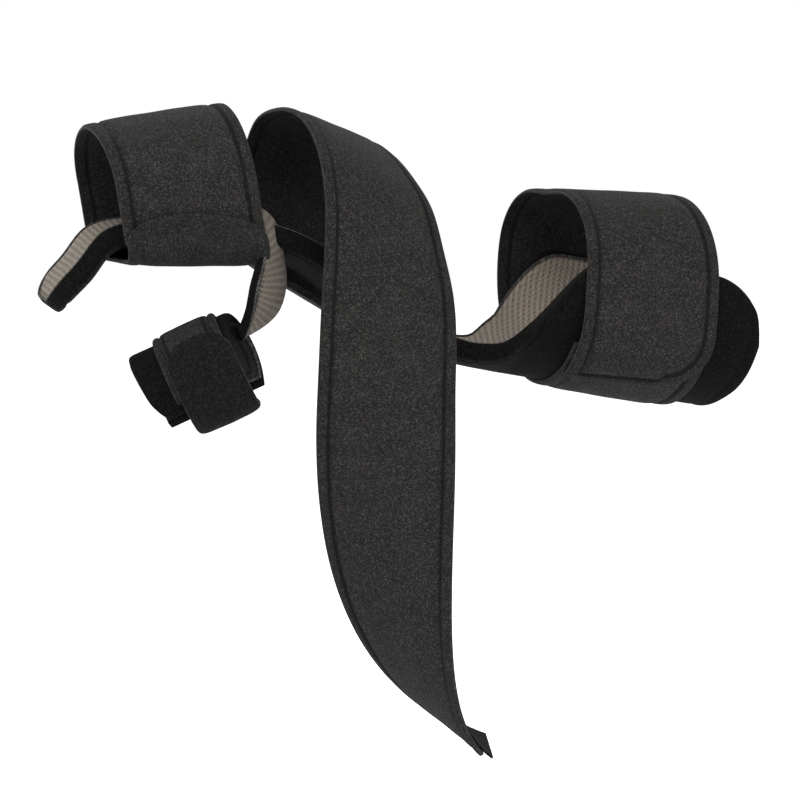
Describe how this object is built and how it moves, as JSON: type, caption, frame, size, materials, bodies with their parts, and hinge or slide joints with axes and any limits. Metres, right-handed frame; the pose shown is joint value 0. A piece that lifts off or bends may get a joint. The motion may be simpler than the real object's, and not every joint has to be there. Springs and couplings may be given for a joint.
{
  "type": "wrist splint",
  "caption": "Padded resting splint for the right wrist, hand and thumb: a lined trough with a finger pan, a thumb trough and wide fabric straps, one hanging open.",
  "frame": {"origin": "on the forearm axis, inside the forearm trough", "axes": "+X towards the elbow, +Y towards the little-finger side, +Z towards the back of the hand"},
  "size_m": [0.2763, 0.1179, 0.2494],
  "materials": {
    "liner": "waffle-knit lining",
    "cover": "napped fleece cover",
    "foam": "soft foam padding",
    "frame": "mill finish",
    "strap": "brushed loop laminate",
    "strap_end": "coarse fleece",
    "hook": "moulded hook tape"
  },
  "bodies": {
    "splint": {"forearm_liner": "liner", "forearm_foam": "foam", "forearm_plate": "frame", "forearm_cover": "cover", "hand_liner": "liner", "hand_foam": "foam", "hand_plate": "frame", "hand_cover": "cover", "web_liner": "liner", "web_foam": "foam", "web_plate": "frame", "web_cover": "cover", "thumb_liner": "liner", "thumb_foam": "foam", "thumb_plate": "frame", "thumb_cover": "cover", "wrist_stay": "frame", "frame_rivets": "frame", "forearm_strap": "strap", "finger_strap": "strap", "thumb_strap": "strap", "palm_strap_anchor": "strap"},
    "forearm_flap": {"forearm_strap_end": "strap", "forearm_hook_tab": "hook"},
    "finger_tongue": {"finger_strap_end": "strap", "finger_hook_tab": "hook"},
    "thumb_tab": {"thumb_strap_end": "strap_end", "thumb_hook_tab": "hook"},
    "palm_strap": {"palm_strap_over": "strap"},
    "palm_tail": {"palm_strap_upper": "strap"},
    "palm_end": {"palm_strap_lower": "strap", "palm_hook_tab": "hook"}
  },
  "joints": [
    {"name": "forearm_flap_peel", "type": "hinge", "parent": "splint", "child": "forearm_flap", "pos_m": [-0.00804, -0.04595, 0.00109], "axis": [-0.9848, 0, 0.1736], "range_deg": [0, 110]},
    {"name": "finger_tongue_peel", "type": "hinge", "parent": "splint", "child": "finger_tongue", "pos_m": [-0.184, -0.0465, 0.02037], "axis": [1, 0, 0], "range_deg": [0, 110]},
    {"name": "thumb_tab_peel", "type": "hinge", "parent": "splint", "child": "thumb_tab", "pos_m": [-0.17264, -0.03626, -0.04654], "axis": [0.8953, -0.1535, 0.4181], "range_deg": [0, 100]},
    {"name": "palm_strap_lift", "type": "hinge", "parent": "splint", "child": "palm_strap", "pos_m": [-0.1367, 0.0362, 0.00065], "axis": [-0.8571, 0, 0.5151], "range_deg": [0, 55]},
    {"name": "palm_tail_swing", "type": "hinge", "parent": "palm_strap", "child": "palm_tail", "pos_m": [-0.1144, -0.0357, 0.0411], "axis": [-0.8791, -0.2713, 0.3918], "range_deg": [0, 80]},
    {"name": "palm_end_swing", "type": "hinge", "parent": "palm_tail", "child": "palm_end", "pos_m": [-0.114, -0.0504, -0.0429], "axis": [-0.9958, 0.0896, 0.0199], "range_deg": [-35, 50]}
  ]
}
